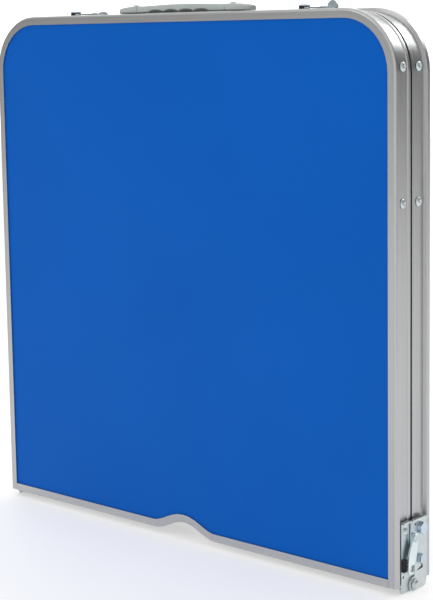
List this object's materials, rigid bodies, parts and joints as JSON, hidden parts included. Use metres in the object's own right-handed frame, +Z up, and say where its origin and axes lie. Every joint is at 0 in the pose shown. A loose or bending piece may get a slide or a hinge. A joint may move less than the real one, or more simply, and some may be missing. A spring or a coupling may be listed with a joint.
{
  "type": "folding table",
  "caption": "Suitcase-style folding table, folded flat: two blue panels in aluminium frames, hinged along the lower edge, with a carrying handle, catches and telescopic legs inside.",
  "frame": {"origin": "on the ground, at the middle of the folded table", "axes": "+Z up, +X along the hinge, -Y out of the top surface of the front half"},
  "size_m": [0.613, 0.063, 0.6174],
  "materials": {
    "blue_laminate": "smooth, slightly glossy laminate film",
    "aluminium": "extruded, drawn lines along each rail",
    "zinc_steel": "zinc plated, slightly bluish",
    "bright_steel": "bright zinc plated",
    "tube_steel": "smooth plated tube",
    "grey_plastic": "moulded, fine grained",
    "black_rubber": "matt"
  },
  "bodies": {
    "front_half": {"front_panel": "blue_laminate", "front_side_rail": "aluminium", "front_hinge_rail": "aluminium", "front_leg_rivet_left": "zinc_steel", "front_leg_rivet_right": "zinc_steel", "front_hinge_plate_left": "zinc_steel", "front_hinge_plate_right": "zinc_steel", "hinge_pivot_left": "zinc_steel", "hinge_pivot_right": "zinc_steel", "lock_buffer_left": "black_rubber", "lock_buffer_right": "black_rubber", "handle_cap_left": "grey_plastic", "handle_cap_right": "grey_plastic", "handle_screw_left": "zinc_steel", "handle_screw_right": "zinc_steel", "catch_stud_left": "bright_steel", "catch_stud_right": "bright_steel"},
    "rear_half": {"rear_panel": "blue_laminate", "rear_side_rail": "aluminium", "rear_hinge_rail": "aluminium", "rear_leg_rivet_left": "zinc_steel", "rear_leg_rivet_right": "zinc_steel", "rear_hinge_plate_left": "zinc_steel", "rear_hinge_plate_right": "zinc_steel", "rear_hinge_upper_bolt_left": "bright_steel", "rear_hinge_upper_bolt_right": "bright_steel", "rear_hinge_lower_bolt_left": "bright_steel", "rear_hinge_lower_bolt_right": "bright_steel", "catch_pivot_left": "zinc_steel", "catch_pivot_right": "zinc_steel"},
    "front_legs": {"front_leg_frame": "tube_steel"},
    "front_leg_end_left": {"front_inner_leg_left": "tube_steel", "front_foot_left": "black_rubber"},
    "front_button_left": {"front_leg_button_left": "bright_steel"},
    "front_rail_bar_left": {"front_stay_rail_bar_left": "zinc_steel"},
    "front_leg_bar_left": {"front_stay_leg_bar_left": "zinc_steel"},
    "front_leg_end_right": {"front_inner_leg_right": "tube_steel", "front_foot_right": "black_rubber"},
    "front_button_right": {"front_leg_button_right": "bright_steel"},
    "front_rail_bar_right": {"front_stay_rail_bar_right": "zinc_steel"},
    "front_leg_bar_right": {"front_stay_leg_bar_right": "zinc_steel"},
    "rear_legs": {"rear_leg_frame": "tube_steel"},
    "rear_leg_end_left": {"rear_inner_leg_left": "tube_steel", "rear_foot_left": "black_rubber"},
    "rear_button_left": {"rear_leg_button_left": "bright_steel"},
    "rear_rail_bar_left": {"rear_stay_rail_bar_left": "zinc_steel"},
    "rear_leg_bar_left": {"rear_stay_leg_bar_left": "zinc_steel"},
    "rear_leg_end_right": {"rear_inner_leg_right": "tube_steel", "rear_foot_right": "black_rubber"},
    "rear_button_right": {"rear_leg_button_right": "bright_steel"},
    "rear_rail_bar_right": {"rear_stay_rail_bar_right": "zinc_steel"},
    "rear_leg_bar_right": {"rear_stay_leg_bar_right": "zinc_steel"},
    "lever_left": {"lock_lever_left": "zinc_steel"},
    "hook_left": {"catch_hook_left": "zinc_steel"},
    "lever_right": {"lock_lever_right": "zinc_steel"},
    "hook_right": {"catch_hook_right": "zinc_steel"},
    "grip": {"handle_grip": "grey_plastic"},
    "strap_end_left": {"handle_strap_end_left": "grey_plastic"},
    "strap_end_right": {"handle_strap_end_right": "grey_plastic"}
  },
  "joints": [
    {"name": "table_fold", "type": "hinge", "parent": "front_half", "child": "rear_half", "pos_m": [0, 0, 0.0065], "axis": [-1, 0, 0], "range_deg": [0, 180]},
    {"name": "front_leg_fold", "type": "hinge", "parent": "front_half", "child": "front_legs", "pos_m": [0, -0.014, 0.547], "axis": [1, 0, 0], "range_deg": [0, 90]},
    {"name": "front_leg_slide_left", "type": "slide", "parent": "front_legs", "child": "front_leg_end_left", "axis": [0, 0, -1], "range_m": [0, 0.2515]},
    {"name": "front_button_press_left", "type": "slide", "parent": "front_legs", "child": "front_button_left", "axis": [-1, 0, 0], "range_m": [0, 0.0012], "stiffness_N_per_m": 700},
    {"name": "front_stay_turn_left", "type": "hinge", "parent": "front_half", "child": "front_rail_bar_left", "pos_m": [-0.2915, -0.014, 0.409], "axis": [1, 0, 0], "range_deg": [0, 130]},
    {"name": "front_stay_knee_left", "type": "hinge", "parent": "front_rail_bar_left", "child": "front_leg_bar_left", "pos_m": [-0.2915, -0.014, 0.311], "axis": [-1, 0, 0], "range_deg": [0, 170]},
    {"name": "front_leg_slide_right", "type": "slide", "parent": "front_legs", "child": "front_leg_end_right", "axis": [0, 0, -1], "range_m": [0, 0.2515]},
    {"name": "front_button_press_right", "type": "slide", "parent": "front_legs", "child": "front_button_right", "axis": [1, 0, 0], "range_m": [0, 0.0012], "stiffness_N_per_m": 700},
    {"name": "front_stay_turn_right", "type": "hinge", "parent": "front_half", "child": "front_rail_bar_right", "pos_m": [0.2915, -0.014, 0.409], "axis": [1, 0, 0], "range_deg": [0, 130]},
    {"name": "front_stay_knee_right", "type": "hinge", "parent": "front_rail_bar_right", "child": "front_leg_bar_right", "pos_m": [0.2915, -0.014, 0.311], "axis": [-1, 0, 0], "range_deg": [0, 170]},
    {"name": "rear_leg_fold", "type": "hinge", "parent": "rear_half", "child": "rear_legs", "pos_m": [0, 0.014, 0.547], "axis": [-1, 0, 0], "range_deg": [0, 90]},
    {"name": "rear_leg_slide_left", "type": "slide", "parent": "rear_legs", "child": "rear_leg_end_left", "axis": [0, 0, -1], "range_m": [0, 0.2515]},
    {"name": "rear_button_press_left", "type": "slide", "parent": "rear_legs", "child": "rear_button_left", "axis": [-1, 0, 0], "range_m": [0, 0.0012], "stiffness_N_per_m": 700},
    {"name": "rear_stay_turn_left", "type": "hinge", "parent": "rear_half", "child": "rear_rail_bar_left", "pos_m": [-0.266, 0.014, 0.409], "axis": [-1, 0, 0], "range_deg": [0, 130]},
    {"name": "rear_stay_knee_left", "type": "hinge", "parent": "rear_rail_bar_left", "child": "rear_leg_bar_left", "pos_m": [-0.266, 0.014, 0.311], "axis": [1, 0, 0], "range_deg": [0, 170]},
    {"name": "rear_leg_slide_right", "type": "slide", "parent": "rear_legs", "child": "rear_leg_end_right", "axis": [0, 0, -1], "range_m": [0, 0.2515]},
    {"name": "rear_button_press_right", "type": "slide", "parent": "rear_legs", "child": "rear_button_right", "axis": [1, 0, 0], "range_m": [0, 0.0012], "stiffness_N_per_m": 700},
    {"name": "rear_stay_turn_right", "type": "hinge", "parent": "rear_half", "child": "rear_rail_bar_right", "pos_m": [0.266, 0.014, 0.409], "axis": [-1, 0, 0], "range_deg": [0, 130]},
    {"name": "rear_stay_knee_right", "type": "hinge", "parent": "rear_rail_bar_right", "child": "rear_leg_bar_right", "pos_m": [0.266, 0.014, 0.311], "axis": [1, 0, 0], "range_deg": [0, 170]},
    {"name": "lock_lever_turn_left", "type": "hinge", "parent": "rear_half", "child": "lever_left", "pos_m": [-0.3036, -0.002, 0.0575], "axis": [-1, 0, 0], "range_deg": [0, 18], "stiffness_Nm_per_rad": 0.5},
    {"name": "catch_turn_left", "type": "hinge", "parent": "rear_half", "child": "hook_left", "pos_m": [-0.173, 0.016, 0.6083], "axis": [0, 0, 1], "range_deg": [0, 100]},
    {"name": "lock_lever_turn_right", "type": "hinge", "parent": "rear_half", "child": "lever_right", "pos_m": [0.3036, -0.002, 0.0575], "axis": [-1, 0, 0], "range_deg": [0, 18], "stiffness_Nm_per_rad": 0.5},
    {"name": "catch_turn_right", "type": "hinge", "parent": "rear_half", "child": "hook_right", "pos_m": [0.173, 0.016, 0.6083], "axis": [0, 0, 1], "range_deg": [0, 100]},
    {"name": "handle_lift", "type": "slide", "parent": "front_half", "child": "grip", "axis": [0, 0, 1], "range_m": [0, 0.015]},
    {"name": "handle_strap_turn_left", "type": "hinge", "parent": "front_half", "child": "strap_end_left", "pos_m": [-0.056, -0.01475, 0.6116], "axis": [0, -1, 0], "range_deg": [0, 32]},
    {"name": "handle_strap_turn_right", "type": "hinge", "parent": "front_half", "child": "strap_end_right", "pos_m": [0.056, -0.01475, 0.6116], "axis": [0, 1, 0], "range_deg": [0, 32]}
  ],
  "couplings": [
    {"joint": "front_leg_fold", "follows": "table_fold", "ratio": 0.5},
    {"joint": "front_leg_slide_left", "follows": "table_fold", "m_per_rad": 0.0799},
    {"joint": "front_stay_turn_left", "follows": "table_fold", "ratio": 0.72055},
    {"joint": "front_stay_knee_left", "follows": "table_fold", "ratio": 0.94109},
    {"joint": "front_leg_slide_right", "follows": "table_fold", "m_per_rad": 0.0799},
    {"joint": "front_stay_turn_right", "follows": "table_fold", "ratio": 0.72055},
    {"joint": "front_stay_knee_right", "follows": "table_fold", "ratio": 0.94109},
    {"joint": "rear_leg_fold", "follows": "table_fold", "ratio": 0.5},
    {"joint": "rear_leg_slide_left", "follows": "table_fold", "m_per_rad": 0.0799},
    {"joint": "rear_stay_turn_left", "follows": "table_fold", "ratio": 0.72055},
    {"joint": "rear_stay_knee_left", "follows": "table_fold", "ratio": 0.94109},
    {"joint": "rear_leg_slide_right", "follows": "table_fold", "m_per_rad": 0.0799},
    {"joint": "rear_stay_turn_right", "follows": "table_fold", "ratio": 0.72055},
    {"joint": "rear_stay_knee_right", "follows": "table_fold", "ratio": 0.94109},
    {"joint": "handle_strap_turn_left", "follows": "handle_lift", "rad_per_m": 36.4},
    {"joint": "handle_strap_turn_right", "follows": "handle_lift", "rad_per_m": 36.4}
  ]
}
